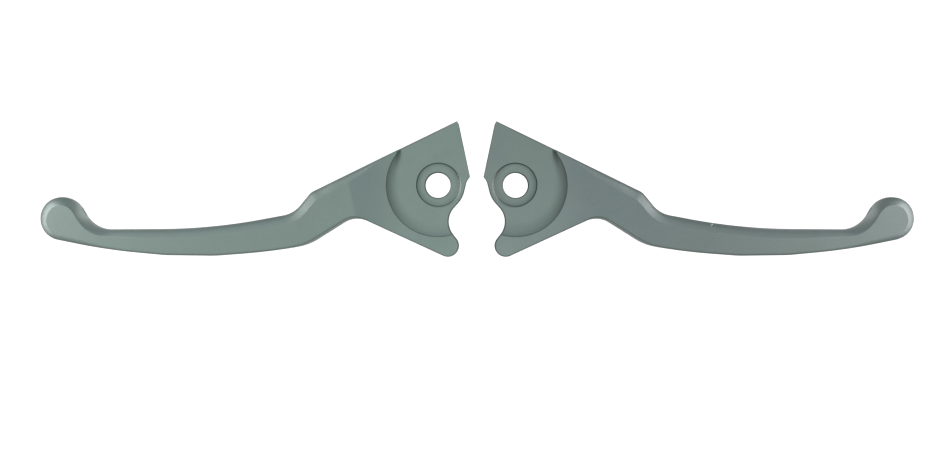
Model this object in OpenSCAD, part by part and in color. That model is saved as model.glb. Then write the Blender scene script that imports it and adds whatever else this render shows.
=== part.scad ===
// A left-hand and a right-hand hydraulic brake lever for a handlebar, laid side by side.
// Each lever is one solid piece of aluminium: a finger blade with a rounded disc end, and
// a pivot block with a thin clevis tongue, a plain pivot bore and a piston nose.
// Units are millimetres. +X runs to the right, +Y forward, away from the rider, and +Z up,
// along the two pivot bores. Z = 0 is the surface the levers lie on, and the origin is
// below the centre of the pair.

/* [Pair] */
// Distance between the two pivot axes, as the levers lie
pivot_gap = 30.9; // [28:0.1:60]

/* [Thickness] */
// Full thickness of the pivot block
block_t = 13; // [11.5:0.5:15]
// How far each face of the blade falls towards the disc end, in degrees
blade_fall = 0.7; // [0:0.1:1]

/* [Pivot] */
// Diameter of the plain pivot bore
bore_d = 10; // [8:0.1:11]
// Diameter of the counterbore round the pivot bore
seat_d = 17.8; // [16:0.1:18.4]
// Depth of the counterbore below the tongue face
seat_depth = 1.2; // [0.6:0.1:1.5]
// Radius of the fillet round the counterbore's floor, measured across it
seat_cove = 1.9; // [1:0.1:2.2]

/* [Clevis tongue] */
// Radius of the step between the pivot block and the tongue, about the pivot
step_r = 21; // [20.5:0.1:21.5]
// Depth of the step on each face
step_depth = 1.8; // [1:0.1:2.2]
// Width of the hollow cove at the foot of the step
step_cove = 4.8; // [3:0.1:6]

/* [Disc end] */
// Radius of the disc at the tip of the blade
ball_r = 8.65; // [8.6:0.01:8.7]

/* [Edges] */
// Rise of the bevel round the blade, as a share of its width
bevel_rise = 0.6; // [0.4:0.05:0.7]
// Width of the small broken edge round the pivot block
edge_break = 0.5; // [0.3:0.05:0.6]
// Draft of the side walls, at the top and bottom of the wall
wall_draft = 0.2; // [0.1:0.05:0.25]

/* [Hidden] */
lever_colour = [0.52, 0.6, 0.57];
half_t = block_t / 2;
tongue_z = half_t - step_depth;
seat_z = tongue_z - seat_depth;
nose_r = 4.5;
nose_c = [3.9, -24.1];
top_y = 25.55;
// The pivot sits a little forward of the middle of the outline, which runs from the
// bottom of the nose to the top corner of the tongue
pivot_y = -(top_y + nose_c[1] - nose_r) / 2;

// The outline of the left lever seen from above, pivot at 0,0, as a chain of circles taken
// anticlockwise. Neighbours are joined by their common tangent. Each row is the circle's
// centre and its radius, which is negative where the edge is hollow. bend() gives the circle
// that passes a point of the edge with a known heading and radius.
function bend(x, y, heading, r) = [x - r * sin(heading), y + r * cos(heading), r];
OUTLINE = [
    [-150.3, -13.3, ball_r],           // disc end
    bend(-137.5, -24.6, -9.7, 230),    // rear edge, leaving the disc
    bend(-109, -27.9, -3, 40),         // rear edge, first of three shallow finger bends
    bend(-89.7, -28.15, 1.1, 50),
    bend(-73, -26.9, 5.7, 250),
    bend(-51.8, -23.45, 20.7, 22),     // rear knee
    bend(-33, -13.4, 4.5, -9.4),       // hollow between blade and nose
    [nose_c[0], nose_c[1], nose_r],    // piston nose
    [12.5, -14.45, -8.2],              // notch between nose and boss
    [0, 0, 10.75],                     // boss round the pivot
    [16.1, -0.5, -5],                  // small hollow under the tongue's tip
    [12.25, 3.3, 0.4],                 // lower tip of the tongue
    [7.6, 24.95, 0.6],                 // top corner of the tongue
    [-44.3, -10.8, 10],                // front knee
    [-63.7, -0.6, -11.5],              // hollow beside the front knee
    bend(-84.1, -15.65, 187, -230),    // front edge of the blade
    [-130.3, -6, -11.5],               // finger stop before the disc
    [-150.1, -14.55, 9.9]              // shoulder of the disc
];
// Longest step along a straight or a shallow bend, and largest turn in one step
run_step = 3.4;
turn_step = 8;

// Width of the bevel along the front edge and the disc's front, by x
FRONT_BEVEL = [[-159, 2.4], [-157, 2.9], [-151, 3.7], [-145, 4.2], [-139, 4], [-135, 3.6],
    [-131, 2.9], [-126, 3.2], [-116, 3.8], [-90, 3.9], [-66, 4], [-61, 3.8], [-56.6, 3.4],
    [-53, 3.2], [-50, 3.4], [-45, 3.8], [-41, 3.4], [-36.4, 2.6], [-32, 2], [-27.5, 1.2],
    [-24, edge_break]];
// Width of the bevel along the rear edge and the disc's rear, by x
REAR_BEVEL = [[-159, 2.4], [-157.4, 2], [-153.6, 1.8], [-144, 1.8], [-139, 1.5], [-134, 1.2],
    [-125, 1], [-60, 0.9], [-54, 1.2], [-48, 1.6], [-35, 1.5], [-31, 0.8], [-27, edge_break]];
// Middle line of the lever, which parts the front edge from the rear
MIDDLE = [[-160, -13.3], [-140, -18], [-120, -22], [-60, -19], [-40, -6], [-10, 0], [20, 0]];
// The line across the block where the blade's faces start to fall, from front to rear
CREASE = [[-36.4, 3.4], [-32.6, -13.4]];

function heading_of(v) = atan2(v[1], v[0]);
function tangent(a, b) = let (v = [b[0] - a[0], b[1] - a[1]])
    heading_of(v) + asin(min(1, max(-1, (a[2] - b[2]) / norm(v))));
function on_circle(c, h) = [c[0] + c[2] * sin(h), c[1] - c[2] * cos(h)];
// The turn along an arc: to the left on a rounded edge, to the right on a hollow one
function turned(a, b, r) = let (d = (b - a) - 360 * floor((b - a) / 360))
    r > 0 ? d : d - 360;

CIRCLES = len(OUTLINE);
HEADS = [for (i = [0:CIRCLES - 1]) tangent(OUTLINE[i], OUTLINE[(i + 1) % CIRCLES])];
// Every point of the edge with its heading: [x, y, heading]
EDGE = [for (i = [0:CIRCLES - 1])
    let (c = OUTLINE[i], h0 = HEADS[(i + CIRCLES - 1) % CIRCLES], h1 = HEADS[i],
        d = turned(h0, h1, c[2]),
        steps = max(1, ceil(abs(d) / turn_step), ceil(abs(c[2] * d) * PI / 180 / run_step)),
        p1 = on_circle(c, h1), p2 = on_circle(OUTLINE[(i + 1) % CIRCLES], h1),
        run = norm(p2 - p1), parts = max(1, ceil(run / run_step)))
    each concat(
        [for (k = [0:steps]) let (h = h0 + d * k / steps, p = on_circle(c, h)) [p[0], p[1], h]],
        [for (k = [1:1:parts - 1]) let (p = p1 + (p2 - p1) * k / parts) [p[0], p[1], h1]])];
// Points closer than this to the one before are dropped
RIM = [for (i = [0:len(EDGE) - 1]) let (a = EDGE[i], b = EDGE[(i + 1) % len(EDGE)])
    if (norm([b[0] - a[0], b[1] - a[1]]) > 0.02) a];
N = len(RIM);

function in_front(p) = p[1] > lookup(p[0], MIDDLE);
function bevel_at(p) = lookup(p[0], in_front(p) ? FRONT_BEVEL : REAR_BEVEL);
// The point of the edge moved inward by t
function inset(p, t) = [p[0] - t * sin(p[2]), p[1] + t * cos(p[2])];
FLAT = [for (p = RIM) inset(p, bevel_at(p))];

// The two corners of the flat face that lie nearest the crease, and the fall beyond it
function nearest(q, i = 0, best = 0) = i == N ? best
    : nearest(q, i + 1, norm(FLAT[i] - q) < norm(FLAT[best] - q) ? i : best);
ia = nearest(CREASE[0]);
ib = nearest(CREASE[1]);
crease_v = FLAT[ib] - FLAT[ia];
crease_n = [crease_v[1], -crease_v[0]] / norm(crease_v);
function fall_at(p) = tan(blade_fall) * max(0, (p - FLAT[ia]) * crease_n);

// Rings of the skin, from the flat face below to the flat face above. Each gives how far the
// ring is set in, as a share of the way from the wall's top to the flat, and its height as a
// share of the bevel's rise. The middle ring lies on the parting line.
RINGS = [[1, 1, -1], [0.5, 0.68, -1], [0, 0, -1], [-1, 0, 0], [0, 0, 1], [0.5, 0.68, 1], [1, 1, 1]];
function ring(r) = [for (i = [0:N - 1])
    let (p = RIM[i], w = bevel_at(p), rise = bevel_rise * w,
        t = r[0] < 0 ? 0 : wall_draft + (w - wall_draft) * r[0], q = inset(p, t),
        top = half_t - fall_at(FLAT[i]))
    [q[0], q[1], r[2] * (top - rise * (1 - r[1]))]];
// A point of the block's flat from which the whole of that flat can be seen
HUB = [-2, -10];
SKIN = concat([for (r = RINGS) each ring(r)], [[HUB[0], HUB[1], -half_t], [HUB[0], HUB[1], half_t]]);
function wrap(k, i) = k * N + i % N;
SIDES = [for (k = [0:len(RINGS) - 2], i = [0:N - 1]) each [
    [wrap(k, i), wrap(k + 1, i), wrap(k + 1, i + 1)],
    [wrap(k, i), wrap(k + 1, i + 1), wrap(k, i + 1)]]];

// The block's flat is a fan about the hub. The blade's flat is a strip between the front
// edge and the rear edge, taken from the crease to the far side of the disc.
far = [for (i = [0:N - 1]) if (FLAT[i][0] <= min([for (p = FLAT) p[0]])) i][0];
FRONT = [for (k = [0:N - ia + far]) (ia + k) % N];
REAR = [for (i = [ib:-1:far]) i];
function strip(a = 0, b = 0, t = []) =
    let (more_a = a < len(FRONT) - 1, more_b = b < len(REAR) - 1)
    !more_a && !more_b ? t
    : more_a && (!more_b || FLAT[FRONT[a + 1]][0] > FLAT[REAR[b + 1]][0])
        ? strip(a + 1, b, concat(t, [[FRONT[a], FRONT[a + 1], REAR[b]]]))
        : strip(a, b + 1, concat(t, [[FRONT[a], REAR[b + 1], REAR[b]]]));
LAST = len(RINGS) - 1;
CAP = [for (t = strip()) if (t[0] != t[1] && t[1] != t[2] && t[0] != t[2]) t];
FAN = [for (i = [ib:1:ia]) [i, i == ia ? ib : i + 1]];
FACES = concat(SIDES,
    [for (t = CAP) [t[0], t[1], t[2]]],
    [for (t = CAP) [wrap(LAST, t[2]), wrap(LAST, t[1]), wrap(LAST, t[0])]],
    [for (f = FAN) [len(SKIN) - 2, f[0], f[1]]],
    [for (f = FAN) [len(SKIN) - 1, wrap(LAST, f[1]), wrap(LAST, f[0])]]);

module blank() {
    polyhedron(points = SKIN, faces = FACES, convexity = 6);
}

// Radius of the cove's circle, from its width and its depth
function cove_radius(w, d) = (w * w + d * d) / (2 * d);

// A round pocket about the pivot, down to z, whose floor meets the wall in a hollow cove
module pocket(r, z, depth, cove, above) {
    k = cove_radius(cove, depth);
    rotate_extrude($fn = 128) {
        translate([0, z]) square([r - cove, above - z]);
        intersection() {
            translate([r - cove, z + k]) circle(r = k, $fn = 128);
            translate([r - cove - 0.5, z]) square([cove + 0.5, above - z]);
        }
    }
}

// What is milled off one face: the tongue, from the step round the pivot to the top corner,
// and the counterbore round the pivot bore
module face_cuts() {
    pocket(step_r, tongue_z, step_depth, step_cove, half_t + 2);
    translate([0, 0, tongue_z]) linear_extrude(half_t + 2 - tongue_z)
        polygon([[0, 0], [-15.9, 14.1], [-22, 22], [0, 34], [24, 34], [24, -4], [6, -4]]);
    pocket(seat_d / 2, seat_z, seat_depth, seat_cove, tongue_z + 0.5);
}

// The left lever about its own pivot, middle plane at z = 0
module lever() {
    difference() {
        blank();
        face_cuts();
        mirror([0, 0, 1]) face_cuts();
        translate([0, 0, -half_t - 3]) cylinder(h = block_t + 6, d = bore_d, $fn = 128);
    }
}

module left_lever() {
    color(lever_colour) translate([-pivot_gap / 2, pivot_y, half_t]) lever();
}

module right_lever() {
    color(lever_colour) mirror([1, 0, 0]) translate([-pivot_gap / 2, pivot_y, half_t]) lever();
}

left_lever();
right_lever();
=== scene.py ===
"""The looks of a pair of satin aluminium brake levers, laid side by side on a pale floor.

Each lever is one closed mesh that stands for its CAD node: the same outline, bore, tongue and thickness, with the
rounded bevels, coves, broken edges and drafted walls that the CAD model holds only roughly.
"""

import math

import bpy
import numpy as np
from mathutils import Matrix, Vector
from mathutils.geometry import delaunay_2d_cdt


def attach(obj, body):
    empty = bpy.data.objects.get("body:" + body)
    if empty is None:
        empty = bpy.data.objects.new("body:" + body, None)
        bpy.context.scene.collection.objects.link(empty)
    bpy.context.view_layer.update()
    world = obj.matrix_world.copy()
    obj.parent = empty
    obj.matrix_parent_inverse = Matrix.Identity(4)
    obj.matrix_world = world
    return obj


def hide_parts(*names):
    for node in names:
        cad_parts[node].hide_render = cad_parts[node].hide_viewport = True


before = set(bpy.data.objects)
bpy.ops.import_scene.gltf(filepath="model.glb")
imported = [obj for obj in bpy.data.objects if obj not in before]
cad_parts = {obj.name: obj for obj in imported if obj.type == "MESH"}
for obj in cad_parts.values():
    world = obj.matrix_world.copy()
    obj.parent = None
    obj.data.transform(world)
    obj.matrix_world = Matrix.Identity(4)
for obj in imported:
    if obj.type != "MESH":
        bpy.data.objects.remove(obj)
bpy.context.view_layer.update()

# ---------------------------------------------------------------- sizes, in millimetres
PIVOT_GAP = 30.9
HALF_T = 6.5
PIVOT_Y = 1.525
BORE_R = 5.0
SEAT_R = 8.45
SEAT_DEPTH = 1.2
SEAT_COVE = 2.5  # the seat's floor curves up this far from its edge,
SEAT_RISE = 0.42  # by this much, to meet a steep wall
SEAT_AT = (0.08, 0.2)  # the seat is a shade off centre from the bore,
BREAK_AT = (0.42, 0.02)  # and its broken edge a shade further inboard, so that it is widest on that side
BREAK_R = 9.0
STEP_R = 20.42
STEP_DEPTH = 1.8
STEP_COVE = 5.3  # the tongue's floor curves up in the same way to the step
STEP_RISE = 1.47
TONGUE_Z = HALF_T - STEP_DEPTH
SEAT_Z = TONGUE_Z - SEAT_DEPTH
FALL = math.tan(math.radians(0.7))
CREASE = ((-36.4, 3.4), (-32.6, -13.4))
TAIL_X = -15.5  # the cove round the step runs out on this line
DISC = (-150.3, -13.3)


def bend(x, y, heading, r):
    """The circle of radius r that passes a point of the edge with a known heading."""
    h = math.radians(heading)
    return (x - r * math.sin(h), y + r * math.cos(h), r)


# The outline of the left lever about its pivot, anticlockwise from above: circles joined by common tangents
OUTLINE = [
    (-150.3, -13.3, 8.65),  # disc end
    bend(-137.5, -24.6, -9.7, 230),  # rear edge
    bend(-109, -27.9, -3, 40),
    bend(-89.7, -28.15, 1.1, 50),
    bend(-73, -26.9, 5.7, 250),
    bend(-51.8, -23.45, 20.7, 22),  # rear knee
    bend(-33, -13.4, 4.5, -9.4),
    (3.9, -24.1, 4.5),  # piston nose
    (12.5, -14.45, -8.2),  # notch
    (0, 0, 10.75),  # boss
    (16.1, -0.5, -5),
    (12.5, 3.35, 0.26),  # lower tip of the tongue
    (7.73, 25.2, 0.42),  # top corner of the tongue
    (-46.8, -7.55, 6),  # front knee
    (-63.7, -0.6, -11.5),
    bend(-84.1, -15.65, 187, -230),  # front edge
    (-130.3, -6, -11.5),  # finger stop
    (-150.1, -14.55, 9.9),  # shoulder of the disc
]


class Outline:
    """The chain of circles as one closed path that can be asked for any arc length."""

    def __init__(self, circles):
        n = len(circles)
        heads = []
        for i in range(n):
            a, b = circles[i], circles[(i + 1) % n]
            vx, vy = b[0] - a[0], b[1] - a[1]
            heads.append(
                math.atan2(vy, vx)
                + math.asin(max(-1, min(1, (a[2] - b[2]) / math.hypot(vx, vy))))
            )
        self.parts = []  # kind, start, length, data
        s = 0.0
        for i in range(n):
            c, h0, h1 = circles[i], heads[i - 1], heads[i]
            d = (h1 - h0) % (2 * math.pi)
            if c[2] < 0:
                d -= 2 * math.pi
            length = abs(c[2] * d)
            self.parts.append(("arc", s, length, (c, h0, d)))
            s += length
            p1, p2 = self.on(c, h1), self.on(circles[(i + 1) % n], h1)
            run = math.hypot(p2[0] - p1[0], p2[1] - p1[1])
            if run > 1e-6:
                self.parts.append(("line", s, run, (p1, p2, h1)))
                s += run
        self.total = s

    @staticmethod
    def on(c, h):
        return (c[0] + c[2] * math.sin(h), c[1] - c[2] * math.cos(h))

    def at(self, s):
        """Arrays of x, y and heading at the arc lengths s."""
        s = np.mod(np.asarray(s, float), self.total)
        x, y, h = np.zeros_like(s), np.zeros_like(s), np.zeros_like(s)
        for k, (kind, start, length, data) in enumerate(self.parts):
            m = (s >= start) & (s <= start + length + 1e-9)
            u = (s[m] - start) / max(length, 1e-9)
            if kind == "arc":
                c, h0, d = data
                hh = h0 + d * u
                x[m], y[m], h[m] = c[0] + c[2] * np.sin(hh), c[1] - c[2] * np.cos(hh), hh
            else:
                p1, p2, hh = data
                x[m], y[m], h[m] = p1[0] + (p2[0] - p1[0]) * u, p1[1] + (p2[1] - p1[1]) * u, hh
        return x, y, h

    def samples(self, marks):
        """Arc lengths to sample: finer on tight arcs, and finest within reach of the marks (s, reach, step)."""
        out = []
        for kind, start, length, data in self.parts:
            if kind == "arc":
                n = max(1, math.ceil(abs(data[2]) / math.radians(2.5)), math.ceil(length / 0.8))
            else:
                n = max(1, math.ceil(length / 0.9))
            out.extend(start + length * k / n for k in range(n))
        base = np.array(out)
        for s0, reach, step in marks:
            near = np.abs((base - s0 + self.total / 2) % self.total - self.total / 2) < reach
            base = np.concatenate([base[~near], s0 + np.arange(-reach, reach + step / 2, step)])
        base = np.unique(np.round(np.mod(base, self.total), 6))
        gap = np.diff(np.append(base, base[0] + self.total))
        return base[gap > 0.035]


EDGE = Outline(OUTLINE)
FINE_S = np.arange(0, EDGE.total, 0.1)
FX, FY, FH = EDGE.at(FINE_S)


def s_near(x, y):
    """The arc length of the edge point nearest x, y."""
    return float(FINE_S[np.argmin((FX - x) ** 2 + (FY - y) ** 2)])


def along(table, smooth=1.5):
    """A value that varies round the edge, from rows (x, y, value) near it, smoothed over that many mm."""
    rows = sorted((s_near(x, y), v) for x, y, v in table)
    s = np.array([r[0] for r in rows])
    v = np.array([r[1] for r in rows])
    fine = np.interp(FINE_S, s, v, period=EDGE.total)
    k = np.arange(-60, 61) * 0.1
    kernel = np.exp(-0.5 * (k / smooth) ** 2)
    kernel /= kernel.sum()
    padded = np.concatenate([fine[-60:], fine, fine[:60]])
    fine = np.convolve(padded, kernel, mode="valid")
    return lambda q: np.interp(np.mod(q, EDGE.total), FINE_S, fine, period=EDGE.total)


def ball(angle, r=9.0):
    """A point beside the disc, by its angle about the disc's centre."""
    a = math.radians(angle)
    return DISC[0] + r * math.cos(a), DISC[1] + r * math.sin(a)


# Width of the bevel, from the edge to the flat
WIDTH = along([
    (-22, 11, 0.6), (-25, 10, 0.8), (-27.5, 8.5, 1.7), (-32, 6, 2.7), (-36.4, 3.4, 3.3), (-41, 1, 3.5),
    (-45, -0.8, 3.7), (-49, -3.2, 3.9), (-53, -6.5, 3.6), (-56.6, -9, 3.7), (-61, -11.5, 3.8), (-66, -12.4, 4.0),
    (-85, -16, 3.9), (-100, -17, 3.9), (-116, -17.5, 3.8), (-126, -17.3, 3.2), (-131, -17.3, 2.95),
    (-135, -16, 3.6), (*ball(20), 3.9), (*ball(40), 3.9), (*ball(60), 3.6), (*ball(80), 3.45), (*ball(100), 3.4),
    (*ball(120), 3.35), (*ball(140), 3.35), (*ball(160), 3.3), (*ball(180), 3.05), (*ball(200), 2.8),
    (*ball(220), 2.65), (*ball(240), 2.3), (*ball(260), 2.15), (-144, -23.4, 2.0),
    (-139, -24.3, 1.6), (-134, -25.2, 1.2), (-125, -26.7, 0.95), (-60, -25.7, 0.9), (-54, -24.3, 1.15),
    (-50, -22.8, 1.6), (-35, -14.5, 1.6), (-31, -13.2, 0.85), (-27, -14, 0.55), (3, -28.6, 0.55),
    (8, -22, 0.5), (4.3, -14.4, 0.5), (10.5, -2.5, 0.4), (11.9, 3.3, 0.2), (8.2, 24.9, 0.3), (0, 22, 0.6),
])
# How far the wall leans in by the time it meets the bevel
LEAN = along([
    (-22, 11, 0.06), (-45, -0.8, 0.10), (-66, -12.4, 0.05), (-126, -17.3, 0.05), (-133, -17, 0.2),
    (-139, -13, 0.42), (*ball(20), 0.42), (*ball(40), 0.32), (*ball(60), 0.22), (*ball(80), 0.15),
    (*ball(120), 0.2), (*ball(160), 0.5), (*ball(180), 0.6), (*ball(220), 0.5), (*ball(250), 0.3),
    (-144, -23.4, 0.15), (-60, -25.7, 0.12), (-53, -24, 0.35), (-49, -22.4, 0.6), (-37, -16, 0.6), (-33, -13.4, 0.35),
    (-29, -13.2, 0.1), (3, -28.6, 0.07), (4.3, -14.4, 0.07), (10.5, -2.5, 0.07), (11.9, 3.3, 0.06),
    (8.2, 24.9, 0.06), (0, 22, 0.06),
])
# Slope of the bevel where it meets the flat, and where it meets the wall, in degrees
SLOPE_IN = along([
    (-22, 11, 38), (-27.5, 8.5, 14), (-36.4, 3.4, 10), (-42.5, 0, 11), (-45, -1.2, 22), (-50, -4, 24), (-56, -9, 23), (-60, -11.5, 25),
    (-66, -12.4, 28), (-100, -17, 29.5), (-126, -17.3, 29.5), (-133, -17, 29), (-138, -14, 37), (*ball(20), 48), (*ball(40), 38),
    (*ball(60), 37), (*ball(80), 32), (*ball(100), 28), (*ball(120), 19), (*ball(140), 15), (*ball(160), 14), (*ball(200), 13),
    (*ball(220), 10), (*ball(250), 8), (-144, -23.4, 9), (-100, -28, 10), (-60, -25.7, 10), (-50, -22.8, 11),
    (-35, -14.5, 11), (-27, -14, 34),
    (3, -28.6, 36), (4.3, -14.4, 36), (11.9, 3.3, 36), (8.2, 24.9, 36),
], 2.0)
SLOPE_OUT = along([
    (-22, 11, 60), (-27.5, 8.5, 54), (-36.4, 3.4, 52), (-42.5, 0, 50), (-45, -1.2, 56), (-50, -4, 56), (-56, -9, 54), (-60, -11.5, 53),
    (-66, -12.4, 54), (-100, -17, 54), (-126, -17.3, 52), (-134, -16.5, 46), (-139, -13, 51), (*ball(15), 66), (*ball(30), 62), (*ball(40), 51),
    (*ball(60), 45), (*ball(80), 45), (*ball(100), 42), (*ball(120), 45), (*ball(140), 39), (*ball(160), 36), (*ball(180), 36), (*ball(200), 36),
    (*ball(220), 34), (*ball(250), 31), (-144, -23.4, 34), (-100, -28, 38), (-60, -25.7, 36), (-50, -22.8, 31),
    (-35, -14.5, 31), (-27, -14, 60), (3, -28.6, 60), (4.3, -14.4, 60), (11.9, 3.3, 60), (8.2, 24.9, 60),
], 2.0)
# How late the slope gives way from one to the other: 1 is an even round, more keeps the steep part near the wall
LATE = along([
    (-22, 11, 1.0), (-27.5, 8.5, 2.0), (-36.4, 3.4, 2.3), (-42.5, 0, 2.6), (-45, -1.2, 4.5), (-50, -4, 5), (-56, -9, 4), (-62, -12, 2.8),
    (-100, -17, 3.0), (-126, -17.3, 2.4), (-135, -16, 1.0), (*ball(20), 0.45), (*ball(50), 1.0), (*ball(80), 1.5), (*ball(100), 2.4), (*ball(120), 1.7), (*ball(140), 1.2), (*ball(180), 1.1),
    (*ball(250), 1.3), (-100, -28, 1.0), (-60, -25.7, 1.0), (3, -28.6, 1.0), (8.2, 24.9, 1.0),
], 2.0)


# Where the right-hand lever's disc was finished less: a fuller wall and a narrower, flatter bevel
FULLER = along([
    (*ball(90), 0.0), (*ball(118), 0.7), (*ball(140), 1.0), (*ball(200), 1.0), (*ball(222), 0.6), (*ball(250), 0.0),
    (-100, -28, 0.0), (0, 22, 0.0), (-126, -17.3, 0.0),
])


# Where the left-hand lever's front bevel lies a little flatter
FLATTER = along([(-60, -11.5, 0.0), (-66, -12.4, 1.0), (-126, -17.3, 1.0), (-134, -17, 0.0), (-100, -28, 0.0), (0, 22, 0.0)])


def smooth_min(a, b, k):
    h = np.clip(0.5 + 0.5 * (b - a) / k, 0, 1)
    return b * (1 - h) + a * h - k * h * (1 - h)


def smooth_step(a, b, x):
    t = np.clip((x - a) / (b - a), 0, 1)
    return t * t * (3 - 2 * t)


def cove(r, edge, width, depth):
    """Height over the floor of a pocket whose floor curves up to its edge, and on at the same slope beyond."""
    k = (width * width + depth * depth) / (2 * depth)
    u = np.clip(r - (edge - width), 0, width)
    return k - np.sqrt(k * k - u * u) + np.maximum(r - edge, 0) * width / (k - depth)


CREASE_V = np.subtract(CREASE[1], CREASE[0])
CREASE_N = np.array([CREASE_V[1], -CREASE_V[0]]) / np.hypot(*CREASE_V)


def level(x, y):
    """Height of the upper face over the middle plane, with no broken edge or bevel."""
    r = np.hypot(x, y)
    d = (x - CREASE[0][0]) * CREASE_N[0] + (y - CREASE[0][1]) * CREASE_N[1]
    past = np.where(d > 0.7, d, np.where(d < -0.7, 0.0, (d + 0.7) ** 2 / 2.8))
    block = HALF_T - FALL * past
    step = TONGUE_Z + cove(np.minimum(r, STEP_R), STEP_R, STEP_COVE, STEP_RISE) + np.maximum(r - STEP_R, 0) * 1.9
    z = smooth_min(block, step, 0.26)
    reach = 1.0 + 0.17 * np.clip(14.5 - y, 0, 10)
    tail = smooth_step(TAIL_X - reach, TAIL_X + reach, x) * (y > 0) + (y <= 0) * (x > 8)
    z = z * (1 - tail) + TONGUE_Z * tail
    r = np.hypot(x - SEAT_AT[0], y - SEAT_AT[1])
    seat = SEAT_Z + cove(np.minimum(r, SEAT_R), SEAT_R, SEAT_COVE, SEAT_RISE) + np.maximum(r - SEAT_R, 0) * 2.9
    broken = TONGUE_Z + np.maximum(np.hypot(x - BREAK_AT[0], y - BREAK_AT[1]) - BREAK_R, -1.1) * 0.52
    return smooth_min(smooth_min(z, broken, 0.08), seat, 0.34)


def inside(px, py, poly):
    """Which points lie inside a closed polygon."""
    x0, y0 = poly[:, 0], poly[:, 1]
    x1, y1 = np.roll(x0, -1), np.roll(y0, -1)
    hit = np.zeros(len(px), bool)
    for k in range(0, len(px), 4000):
        X, Y = px[k:k + 4000, None], py[k:k + 4000, None]
        cross = (y0 > Y) != (y1 > Y)
        with np.errstate(divide="ignore", invalid="ignore"):
            xi = (x1 - x0) * (Y - y0) / (y1 - y0) + x0
        hit[k:k + 4000] = (cross & (X < xi)).sum(1) % 2 == 1
    return hit


def gap_to(px, py, poly):
    """Distance of each point from a polygon's edge."""
    a, b = poly, np.roll(poly, -1, axis=0)
    d = b - a
    out = np.zeros(len(px))
    for k in range(0, len(px), 4000):
        P = np.stack([px[k:k + 4000], py[k:k + 4000]], 1)[:, None, :]
        t = np.clip(((P - a) * d).sum(2) / np.maximum((d * d).sum(1), 1e-12), 0, 1)
        out[k:k + 4000] = np.sqrt(((P - a - t[..., None] * d) ** 2).sum(2)).min(1)
    return out


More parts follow.
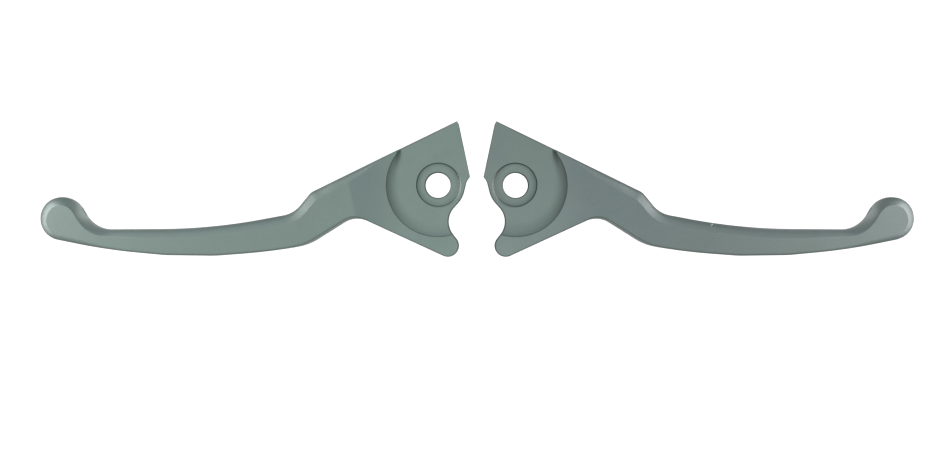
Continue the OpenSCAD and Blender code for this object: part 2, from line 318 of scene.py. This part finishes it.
def lever_mesh(full, nick):
    """Vertices (mm, about the pivot, middle plane at z 0) and faces of one left-hand lever.
    full is how much of the fuller disc it has, nick is (x, y) of a small dent in the bevel, or None."""
    marks = [(s_near(-15.9, 14.1), 1.6, 0.1), (s_near(5.8, -20.3), 1.2, 0.12)]
    if nick:
        marks.append((s_near(*nick), 1.9, 0.1))
    S = EDGE.samples(marks)
    x, y, h = EDGE.at(S)
    nx, ny = -np.sin(h), np.cos(h)
    more = full * FULLER(S)
    w, g = WIDTH(S) - 0.40 * more, np.maximum(LEAN(S) - 0.33 * more, 0.05)
    less = 3 * (1 - full) * FLATTER(S)
    a0, a1 = np.radians(SLOPE_IN(S) - less), np.radians(SLOPE_OUT(S) - 4 * more - less)
    n = len(S)

    # the cross-section: how far in from the edge, and how far below the face
    wide = w - g
    late = LATE(S)
    steps = 80
    q = np.linspace(1, 0, steps + 1)[:, None]
    slope = np.tan(a0 + (a1 - a0) * q ** late)
    pieces = (slope[:-1] + slope[1:]) / 2 * wide / steps
    drop = np.concatenate([np.cumsum(pieces[::-1], 0)[::-1], np.zeros((1, n))])
    rise = drop[0]
    hold = np.minimum(0.2, 0.3 * w)
    cut = np.minimum(0.12, 0.14 * wide)  # the broken corner between wall and bevel
    soft = np.minimum(0.10, 0.14 * wide)  # the round between bevel and flat

    def bevel(u):
        """A point of the bevel, u of the way from the wall to the flat."""
        k = np.clip(u * steps, 0, steps - 1e-6)
        i = k.astype(int)
        f = k - i
        here = np.arange(n)
        return g + wide * u, drop[i, here] * (1 - f) + drop[i + 1, here] * f

    def eased(p, q, r, s):
        """A point on the quadratic curve from p over q to r."""
        return tuple((1 - s) ** 2 * p[k] + 2 * s * (1 - s) * q[k] + s * s * r[k] for k in (0, 1))

    u_lo, u_hi = cut / wide, 1 - soft / wide
    wall_end = (g * 0.98, rise + cut)
    rows = [wall_end]
    rows += [eased(wall_end, (g, rise), bevel(u_lo), q) for q in (0.25, 0.5, 0.75)]
    for v in (0.0, 0.03, 0.07, 0.12, 0.18, 0.25, 0.33, 0.42, 0.52, 0.62, 0.72, 0.82, 0.92, 1.0):
        rows.append(bevel(u_lo + (u_hi - u_lo) * v))
    rows += [eased(rows[-1], (w, 0 * w), (w + 0.35 * hold, 0 * w), q) for q in (0.35, 0.7, 1.0)]
    rows.append((w + hold, 0 * w))
    top_wall = level(x + nx * g, y + ny * g) - wall_end[1]
    rings = [(x, y, 0 * x)]
    for f, tt in ((0.03, 0.02), (0.08, 0.08), (0.5, 0.5), (0.85, 0.85)):
        t = g * tt
        rings.append((x + nx * t, y + ny * t, top_wall * f))
    for k, (t, d) in enumerate(rows):
        X, Y = x + nx * t, y + ny * t
        rings.append((X, Y, top_wall if k == 0 else level(X, Y) - d))
    co = [np.stack(r, 1) for r in rings]
    K = len(co)

    loop = co[-1][:, :2].copy()
    M = 144
    th = np.arange(M) * 2 * math.pi / M
    hole = np.stack([(BORE_R + 0.36) * np.cos(th), (BORE_R + 0.36) * np.sin(th)], 1)

    pts = [loop, hole]
    edges = [(i, (i + 1) % n) for i in range(n)] + [(n + i, n + (i + 1) % M) for i in range(M)]
    count = n + M

    def add_line(p, closed=False, margin=0.22):
        nonlocal count
        keep = inside(p[:, 0], p[:, 1], loop) & (gap_to(p[:, 0], p[:, 1], loop) > margin)
        index = np.full(len(p), -1)
        index[keep] = count + np.arange(keep.sum())
        pts.append(p[keep])
        for i in range(len(p) - (0 if closed else 1)):
            j = (i + 1) % len(p)
            if index[i] >= 0 and index[j] >= 0:
                edges.append((int(index[i]), int(index[j])))
        count += int(keep.sum())

    add_line(np.stack([5.65 * np.cos(th), 5.65 * np.sin(th)], 1), closed=True)
    for k, r in enumerate((6.2, 6.7, 7.05, 7.35, 7.6, 7.85, 8.05, 8.22, 8.36, 8.46, 8.52, 8.58, 8.64, 8.70, 8.76, 8.82,
                           8.88, 8.94, 9.0, 9.06, 9.12, 9.18, 9.24, 9.30, 9.36, 9.42, 9.5, 9.62, 9.85)):
        turn = th + (math.pi / M if k % 2 else 0)
        add_line(np.stack([r * np.cos(turn) + SEAT_AT[0], r * np.sin(turn) + SEAT_AT[1]], 1), closed=True)
    arc = np.radians(np.arange(130, 292, 0.8))
    for r in (15.0, 15.7, 16.3, 16.9, 17.5, 18.0, 18.5, 18.95, 19.35, 19.7, 20.0, 20.22, 20.36, 20.44, 20.51, 20.58,
              20.65, 20.73, 20.82, 20.95, 21.15, 21.5):
        p = np.stack([r * np.cos(arc), r * np.sin(arc)], 1)
        add_line(p[(p[:, 0] < TAIL_X + 2.6) | (p[:, 1] < 0)])
    for dx in (-0.6, -0.4, -0.2, 0, 0.2, 0.4, 0.6):
        yy = np.arange(11.5, 16, 0.25)
        add_line(np.stack([np.full_like(yy, TAIL_X + dx), yy], 1), margin=0.1)
    for off in (-1.2, -0.7, -0.35, 0, 0.35, 0.7, 1.2):
        q0 = np.array(CREASE[0]) - CREASE_V * 0.3 + CREASE_N * off
        u = np.arange(0, 1.5, 0.05)[:, None]
        add_line(q0 + CREASE_V * u)
    gx, gy = np.meshgrid(np.arange(-162, 20, 2.4), np.arange(-32, 30, 2.1))
    gx = gx + (np.arange(gx.shape[0]) % 2)[:, None] * 1.2
    grid = np.stack([gx.ravel(), gy.ravel()], 1)
    rr = np.hypot(grid[:, 0], grid[:, 1])
    d = (grid[:, 0] - CREASE[0][0]) * CREASE_N[0] + (grid[:, 1] - CREASE[0][1]) * CREASE_N[1]
    far = (rr > 10.5) & ((rr < 14.6) | (rr > 22.2) | ((grid[:, 0] > TAIL_X + 3) & (grid[:, 1] > 0))) & (np.abs(d) > 2)
    grid = grid[far]
    grid = grid[inside(grid[:, 0], grid[:, 1], loop)]
    grid = grid[gap_to(grid[:, 0], grid[:, 1], loop) > 0.9]
    pts.append(grid)
    P = np.concatenate(pts)
    out = delaunay_2d_cdt([Vector(p) for p in P.tolist()], edges, [], 1, 1e-6)
    ov = np.array([(v.x, v.y) for v in out[0]])
    tri = np.array([f for f in out[2] if len(f) == 3])
    a, b, c = ov[tri[:, 0]], ov[tri[:, 1]], ov[tri[:, 2]]
    area = (b[:, 0] - a[:, 0]) * (c[:, 1] - a[:, 1]) - (b[:, 1] - a[:, 1]) * (c[:, 0] - a[:, 0])
    tri[area < 0] = tri[area < 0][:, ::-1]
    mid = (a + b + c) / 3
    ok = ~inside(mid[:, 0], mid[:, 1], hole)
    tri = tri[ok]

    verts = list(co)
    base = K * n
    # bore: from the seat's floor, over a small chamfer, down the wall
    bore = []
    for r, dz in ((BORE_R + 0.36, 0.0), (BORE_R + 0.32, 0.015), (BORE_R + 0.05, 0.34), (BORE_R, 0.42), (BORE_R, 0.6)):
        bore.append(np.stack([r * np.cos(th), r * np.sin(th), np.full(M, SEAT_Z - dz)], 1))
    bore[0][:, 2] = level(bore[0][:, 0], bore[0][:, 1])
    B0 = base
    verts += bore
    base += len(bore) * M
    # the interior of the face
    to_vert = np.full(len(ov), -1)
    extra = []
    for i, orig in enumerate(out[3]):
        low = [o for o in orig if o < n + M]
        if low:
            o = low[0]
            to_vert[i] = (K - 1) * n + o if o < n else B0 + (o - n)
        else:
            to_vert[i] = base + len(extra)
            extra.append(ov[i])
    used = np.zeros(len(ov), bool)
    used[tri.ravel()] = True
    extra = np.array(extra)
    verts.append(np.column_stack([extra, level(extra[:, 0], extra[:, 1])]))
    V = np.concatenate(verts)

    i0 = np.arange(n)
    i1 = (i0 + 1) % n
    quads = []
    for k in range(K - 1):
        quads.append(np.stack([k * n + i0, k * n + i1, (k + 1) * n + i1, (k + 1) * n + i0], 1))
    j0 = np.arange(M)
    j1 = (j0 + 1) % M
    for k in range(len(bore) - 1):
        quads.append(np.stack([B0 + k * M + j0, B0 + k * M + j1, B0 + (k + 1) * M + j1, B0 + (k + 1) * M + j0], 1))
    quads = np.concatenate(quads)
    tri = to_vert[tri]

    if nick:
        # a small dent: a shallow bowl with a raised lip
        c = np.array(nick)
        rr = np.hypot(V[:, 0] - c[0], V[:, 1] - c[1])
        near = (rr < 1.8) & (V[:, 2] > 1.5)
        V[near, 2] += -0.34 * np.exp(-(rr[near] / 0.5) ** 2) + 0.11 * np.exp(-((rr[near] - 0.85) / 0.22) ** 2)

    # the lower half is the upper half mirrored, sharing the parting line
    low = V.copy()
    low[:, 2] *= -1
    remap = np.arange(len(V)) + len(V)
    remap[:n] = np.arange(n)
    V2 = np.concatenate([V, low])
    faces = quads.tolist() + tri.tolist()
    faces += remap[quads[:, ::-1]].tolist() + remap[tri[:, ::-1]].tolist()
    wall = B0 + (len(bore) - 1) * M
    faces += np.stack([wall + j0, wall + j1, remap[wall + j1], remap[wall + j0]], 1).tolist()
    keep = np.zeros(len(V2), bool)
    for f in faces:
        keep[f] = True
    new = np.cumsum(keep) - 1
    faces = [[int(new[i]) for i in f] for f in faces]
    return V2[keep], faces


def build(name, mirrored, full, nick=None):
    V, faces = lever_mesh(full, nick)
    V = V + np.array([-PIVOT_GAP / 2, PIVOT_Y, HALF_T])
    if mirrored:
        V[:, 0] *= -1
        faces = [f[::-1] for f in faces]
    mesh = bpy.data.meshes.new(name)
    mesh.from_pydata((V * 0.001).tolist(), [], faces)
    mesh.validate()
    mesh.shade_smooth()
    mesh.update()
    obj = bpy.data.objects.new(name, mesh)
    bpy.context.scene.collection.objects.link(obj)
    return obj


# ---------------------------------------------------------------- materials
def satin(name, base, cool, rough, sx, block_shade_tone, crisp, nick=None):
    """Fine-blasted aluminium under a thin matt coating. The face beyond the step is darkened by a painted shade,
    standing in for the shade its slight tilt takes: as far as the crease if crisp, or dying away along the blade. sx
    is the side the lever lies on."""
    m = bpy.data.materials.new(name)
    m.use_nodes = True
    nt = m.node_tree
    nt.nodes.clear()
    N, L = nt.nodes.new, nt.links.new
    out = N("ShaderNodeOutputMaterial")
    p = N("ShaderNodeBsdfPrincipled")
    p.inputs["Metallic"].default_value = 1.0
    L(p.outputs[0], out.inputs[0])
    tc = N("ShaderNodeTexCoord")

    def noise(scale, detail=4.0, rough_=0.55, dist=0.0):
        t = N("ShaderNodeTexNoise")
        t.noise_dimensions = "3D"
        t.inputs["Scale"].default_value = scale
        t.inputs["Detail"].default_value = detail
        t.inputs["Roughness"].default_value = rough_
        t.inputs["Distortion"].default_value = dist
        L(tc.outputs["Object"], t.inputs["Vector"])
        return t

    def ramp(src, stops):
        r = N("ShaderNodeValToRGB")
        r.color_ramp.elements[0].position, r.color_ramp.elements[0].color = stops[0][0], (*stops[0][1], 1)
        r.color_ramp.elements[1].position, r.color_ramp.elements[1].color = stops[-1][0], (*stops[-1][1], 1)
        for pos, col in stops[1:-1]:
            e = r.color_ramp.elements.new(pos)
            e.color = (*col, 1)
        L(src, r.inputs[0])
        return r

    cloud = noise(58.0, 5.0, 0.6, 0.4)
    tint = ramp(cloud.outputs["Fac"], [(0.28, tuple(c * 0.95 for c in base)), (0.5, base), (0.72, cool)])
    grain = noise(2600.0, 3.0, 0.6)
    speck = ramp(grain.outputs["Fac"], [(0.25, (0.93, 0.93, 0.93)), (0.75, (1.06, 1.06, 1.06))])
    mix = N("ShaderNodeMix")
    mix.data_type = "RGBA"
    mix.blend_type = "MULTIPLY"
    mix.inputs["Factor"].default_value = 1.0
    L(tint.outputs[0], mix.inputs["A"])
    L(speck.outputs[0], mix.inputs["B"])

    def span_of(src, a, b, lo=0.0, hi=1.0):
        t = N("ShaderNodeMapRange")
        t.inputs["From Min"].default_value = a
        t.inputs["From Max"].default_value = b
        t.inputs["To Min"].default_value = lo
        t.inputs["To Max"].default_value = hi
        L(src, t.inputs["Value"])
        return t.outputs["Result"]

    def times(a, b):
        t = N("ShaderNodeMath")
        t.operation = "MULTIPLY"
        L(a, t.inputs[0])
        L(b, t.inputs[1])
        return t.outputs[0]

    place = N("ShaderNodeSeparateXYZ")
    L(tc.outputs["Object"], place.inputs[0])
    facing = N("ShaderNodeSeparateXYZ")
    L(tc.outputs["Normal"], facing.inputs[0])
    # painted shade: the near-flat upper face of the block beyond the step gets a darker, bluer colour, standing in for
    # the shade its slightly tilted face takes
    block = times(span_of(facing.outputs["Z"], 0.975, 0.994),
                  span_of(place.outputs["Z"], (TONGUE_Z + HALF_T + 0.2) * 0.001, (TONGUE_Z + HALF_T + 0.5) * 0.001))
    if crisp:
        past = N("ShaderNodeVectorMath")
        past.operation = "DOT_PRODUCT"
        past.inputs[1].default_value = (-sx * CREASE_N[0], CREASE_N[1], 0)
        L(tc.outputs["Object"], past.inputs[0])
        at = ((CREASE[0][0] - PIVOT_GAP / 2) * CREASE_N[0] + (CREASE[0][1] + PIVOT_Y) * CREASE_N[1]) * 0.001
        block = times(block, span_of(past.outputs["Value"], at + 0.0004, at - 0.0008))
    else:
        block = times(block, span_of(place.outputs["X"], sx * 0.125, sx * 0.055))
    block = times(block, span_of(place.outputs["X"], sx * 0.043, sx * 0.029, 1.0, 0.15))
    # mix the painted shade into the block's face
    block_shade = N("ShaderNodeMix")
    block_shade.data_type = "RGBA"
    block_shade.blend_type = "MULTIPLY"
    block_shade.inputs["B"].default_value = (*block_shade_tone, 1)
    L(block, block_shade.inputs["Factor"])
    L(mix.outputs["Result"], block_shade.inputs["A"])
    # painted shade: a darker colour in the corner of the seat and in the bore, standing in for the shade that falls in
    # these recesses
    flat = N("ShaderNodeVectorMath")
    flat.operation = "MULTIPLY"
    flat.inputs[1].default_value = (1, 1, 0)
    L(tc.outputs["Object"], flat.inputs[0])

    def away(x, y):
        """Distance in plan from a point of the lever, given about its pivot in millimetres."""
        node = N("ShaderNodeVectorMath")
        node.operation = "DISTANCE"
        node.inputs[1].default_value = (-sx * (x - PIVOT_GAP / 2) * 0.001, (y + PIVOT_Y) * 0.001, 0)
        L(flat.outputs[0], node.inputs[0])
        return node.outputs["Value"]

    def blend(kind, a, b, factor):
        node = N("ShaderNodeMix")
        node.data_type = "RGBA"
        node.blend_type = kind
        node.inputs["B"].default_value = (*b, 1)
        L(a, node.inputs["A"])
        L(factor, node.inputs["Factor"])
        return node.outputs["Result"]

    corner = times(span_of(away(*SEAT_AT), 0.0066, 0.0083), span_of(away(*SEAT_AT), 0.0088, 0.0085))
    # painted shade in the corner of the seat
    coat_and_shade = blend("MULTIPLY", block_shade.outputs["Result"], (0.88, 0.88, 0.88), corner)
    # painted shade in the bore: its wall is multiplied much darker
    coat_and_shade = blend("MULTIPLY", coat_and_shade, (0.62, 0.62, 0.62), span_of(away(0, 0), 0.0054, 0.0052))
    if nick:
        # the inboard lip of the dent is given a paler colour of the same hue
        paler_lip = times(span_of(away(nick[0] + 0.42, nick[1] + 0.1), 0.00085, 0.00065), span_of(away(*nick), 0.00025, 0.00045))
        coat_and_shade = blend("MIX", coat_and_shade, (0.46, 0.59, 0.55), paler_lip)
    L(coat_and_shade, p.inputs["Base Color"])

    patches = noise(95.0, 4.0, 0.6)
    span = N("ShaderNodeMapRange")
    span.inputs["From Min"].default_value = 0.3
    span.inputs["From Max"].default_value = 0.7
    span.inputs["To Min"].default_value = rough - 0.03
    span.inputs["To Max"].default_value = rough + 0.03
    L(patches.outputs["Fac"], span.inputs["Value"])
    L(span.outputs["Result"], p.inputs["Roughness"])

    blast = noise(3800.0, 2.0, 0.5)
    bump = N("ShaderNodeBump")
    bump.inputs["Strength"].default_value = 0.10
    bump.inputs["Distance"].default_value = 0.00006
    L(blast.outputs["Fac"], bump.inputs["Height"])
    L(bump.outputs["Normal"], p.inputs["Normal"])
    return m


left = build("left_lever_body", False, 0)
NICK = (-78.6, -16.05)
right = build("right_lever_body", True, 1, NICK)
left.data.materials.append(satin("satin_left", (0.395, 0.525, 0.475), (0.385, 0.515, 0.480), 0.44, -1,
                                 (0.855, 0.85, 0.885), True))
right.data.materials.append(satin("satin_right", (0.348, 0.443, 0.412), (0.340, 0.436, 0.420), 0.44, 1,
                                  (0.90, 0.885, 0.935), False, NICK))
for obj, node in ((left, "left_lever"), (right, "right_lever")):
    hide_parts(node)
    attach(obj, node)

# ---------------------------------------------------------------- floor
def flat_floor(name, glow, albedo, z, color=(1, 1, 1), front=1.0):
    """A white floor. One carries the white that the camera sees, the other what the metal reflects: it glows in place
    of light a lit floor would bounce, and is dimmer by front before the levers than behind them, which is a painted
    shadow."""
    bpy.ops.mesh.primitive_plane_add(size=12, location=(0, 0, z))
    obj = bpy.context.object
    obj.name = name
    m = bpy.data.materials.new(name)
    m.use_nodes = True
    nt = m.node_tree
    nt.nodes.clear()
    out = nt.nodes.new("ShaderNodeOutputMaterial")
    add = nt.nodes.new("ShaderNodeAddShader")
    glowing = nt.nodes.new("ShaderNodeEmission")
    glowing.inputs["Color"].default_value = (*color, 1)
    where = nt.nodes.new("ShaderNodeTexCoord")
    across_ = nt.nodes.new("ShaderNodeSeparateXYZ")
    dim = nt.nodes.new("ShaderNodeMapRange")
    for key, value in (("From Min", -0.035), ("From Max", 0.005), ("To Min", glow), ("To Max", glow * front)):
        dim.inputs[key].default_value = value
    nt.links.new(where.outputs["Object"], across_.inputs[0])
    nt.links.new(across_.outputs["Y"], dim.inputs["Value"])
    nt.links.new(dim.outputs["Result"], glowing.inputs["Strength"])
    matt = nt.nodes.new("ShaderNodeBsdfDiffuse")
    matt.inputs["Color"].default_value = tuple(albedo * c for c in color) + (1,)
    nt.links.new(glowing.outputs[0], add.inputs[0])
    nt.links.new(matt.outputs[0], add.inputs[1])
    nt.links.new(add.outputs[0], out.inputs[0])
    obj.data.materials.append(m)
    return obj


floor = flat_floor("floor", 0.99, 0.5, -0.0002)
floor.visible_glossy = False
floor.visible_diffuse = False
floor.visible_shadow = False
# the hidden floor glows for the metal to reflect, with a painted shadow: its glow is dimmer before the levers
bounce = flat_floor("floor_bounce", 0.33, 0.6, -0.0001, (1, 0.91, 0.95), 0.6)
bounce.visible_camera = False

# ---------------------------------------------------------------- light
scene = bpy.context.scene
world = bpy.data.worlds.new("studio")
scene.world = world
world.use_nodes = True
wt = world.node_tree
wt.nodes.clear()
WN, WL = wt.nodes.new, wt.links.new
wo = WN("ShaderNodeOutputWorld")
mixw = WN("ShaderNodeMixShader")
seen = WN("ShaderNodeBackground")
seen.inputs["Color"].default_value = (1, 1, 1, 1)
seen.inputs["Strength"].default_value = 1.0
room = WN("ShaderNodeBackground")
room.inputs["Strength"].default_value = 1.0
path = WN("ShaderNodeLightPath")
WL(path.outputs["Is Camera Ray"], mixw.inputs[0])
WL(room.outputs[0], mixw.inputs[1])
WL(seen.outputs[0], mixw.inputs[2])
WL(mixw.outputs[0], wo.inputs[0])
# the room's brightness by direction: it fades from overhead to both sides, holds its brightness
# forward until low down, and fades a little backward
geo = WN("ShaderNodeTexCoord")
xyz = WN("ShaderNodeSeparateXYZ")
WL(geo.outputs["Generated"], xyz.inputs[0])
side = WN("ShaderNodeMath")
side.operation = "ABSOLUTE"
WL(xyz.outputs["X"], side.inputs[0])
ahead = WN("ShaderNodeMapRange")
ahead.inputs["From Min"].default_value = -1.0
ahead.inputs["From Max"].default_value = 1.0
WL(xyz.outputs["Y"], ahead.inputs["Value"])


def fade(src, stops):
    node = WN("ShaderNodeValToRGB")
    node.color_ramp.interpolation = "B_SPLINE"
    els = node.color_ramp.elements
    rows = [(stop[0], tuple(stop[1] * c for c in (stop[2] if len(stop) > 2 else (1, 1, 1))) + (1,)) for stop in stops]
    els[0].position, els[0].color = rows[0]
    els[1].position, els[1].color = rows[-1]
    for pos, v in rows[1:-1]:
        els.new(pos).color = v
    WL(src, node.inputs[0])
    return node.outputs[0]


across = fade(side.outputs[0], [(0.0, 0.60), (0.2, 0.57), (0.4, 0.465), (0.6, 0.335), (0.8, 0.22), (1.0, 0.16)])
fore = fade(ahead.outputs[0], [(0.0, 0.28), (0.08, 0.50), (0.2, 0.78), (0.35, 0.94), (0.5, 1.0), (0.74, 1.0),
                                   (0.86, 1.0, (0.975, 1, 1.05)), (0.91, 0.85, (0.97, 1, 1.055)),
                                   (0.955, 0.55, (0.97, 1, 1.055)), (1.0, 0.25, (0.97, 1, 1.055))])
both = WN("ShaderNodeMix")
both.data_type = "RGBA"
both.blend_type = "MULTIPLY"
both.inputs["Factor"].default_value = 1.0
WL(across, both.inputs["A"])
WL(fore, both.inputs["B"])
WL(both.outputs["Result"], room.inputs["Color"])


def softbox(name, place, target, size, brightness, only=None, color=(1, 1, 1)):
    """A rectangular softbox of an even brightness. With only, it lights that lever alone."""
    light = bpy.data.lights.new(name, "AREA")
    light.color = color
    light.shape = "RECTANGLE"
    light.size, light.size_y = size
    light.energy = brightness * math.pi * size[0] * size[1]
    obj = bpy.data.objects.new(name, light)
    scene.collection.objects.link(obj)
    obj.location = place
    obj.rotation_mode = "QUATERNION"
    obj.rotation_quaternion = (Vector(target) - Vector(place)).to_track_quat("-Z", "Y")
    obj.visible_camera = False
    if only:
        c = bpy.data.collections.new(name + "_on")
        c.objects.link(only)
        obj.light_linking.receiver_collection = c
    return obj


def around(centre, azimuth, elevation, distance):
    a, e = math.radians(azimuth), math.radians(elevation)
    return (centre[0] + distance * math.cos(e) * math.cos(a), centre[1] + distance * math.cos(e) * math.sin(a),
            centre[2] + distance * math.sin(e))


# each lever has a long box beyond its outer end, reaching further forward than back, and a small card that lies
# before the finger rest and lights the shoulder of the disc from below
for name, sx, lever, bright, hue in (("side_left", -1, left, 1.58, (1, 0.83, 0.87)),
                                     ("side_right", 1, right, 1.70, (1, 0.83, 0.90))):
    softbox(name, (sx * 0.290, 0.034, 0.145), (sx * 0.13, -0.012, 0.0065), (0.27, 0.15), bright, lever, hue)
    softbox(name.replace("side", "card"), (sx * 0.134, 0.010, 0.001), (sx * 0.134, 0.010, 1), (0.04, 0.034), 0.65, lever,
            (1, 0.83, 0.90))
softbox("middle", (0.006, -0.05, 0.16), (0.004, -0.012, 0.0065), (0.10, 0.04), 0.38)

# ---------------------------------------------------------------- camera
cam = bpy.data.cameras.new("camera")
cam.sensor_width = 36
cam.lens = 99.4
cam.clip_end = 20
co_ = bpy.data.objects.new("camera", cam)
scene.collection.objects.link(co_)
co_.location = (-0.0005, -0.0161, 1.0565)
co_.rotation_euler = (0, 0, 0)
scene.camera = co_
scene.view_settings.view_transform = "Standard"
scene.view_settings.look = "None"
scene.view_settings.exposure = 0
scene.view_settings.gamma = 1
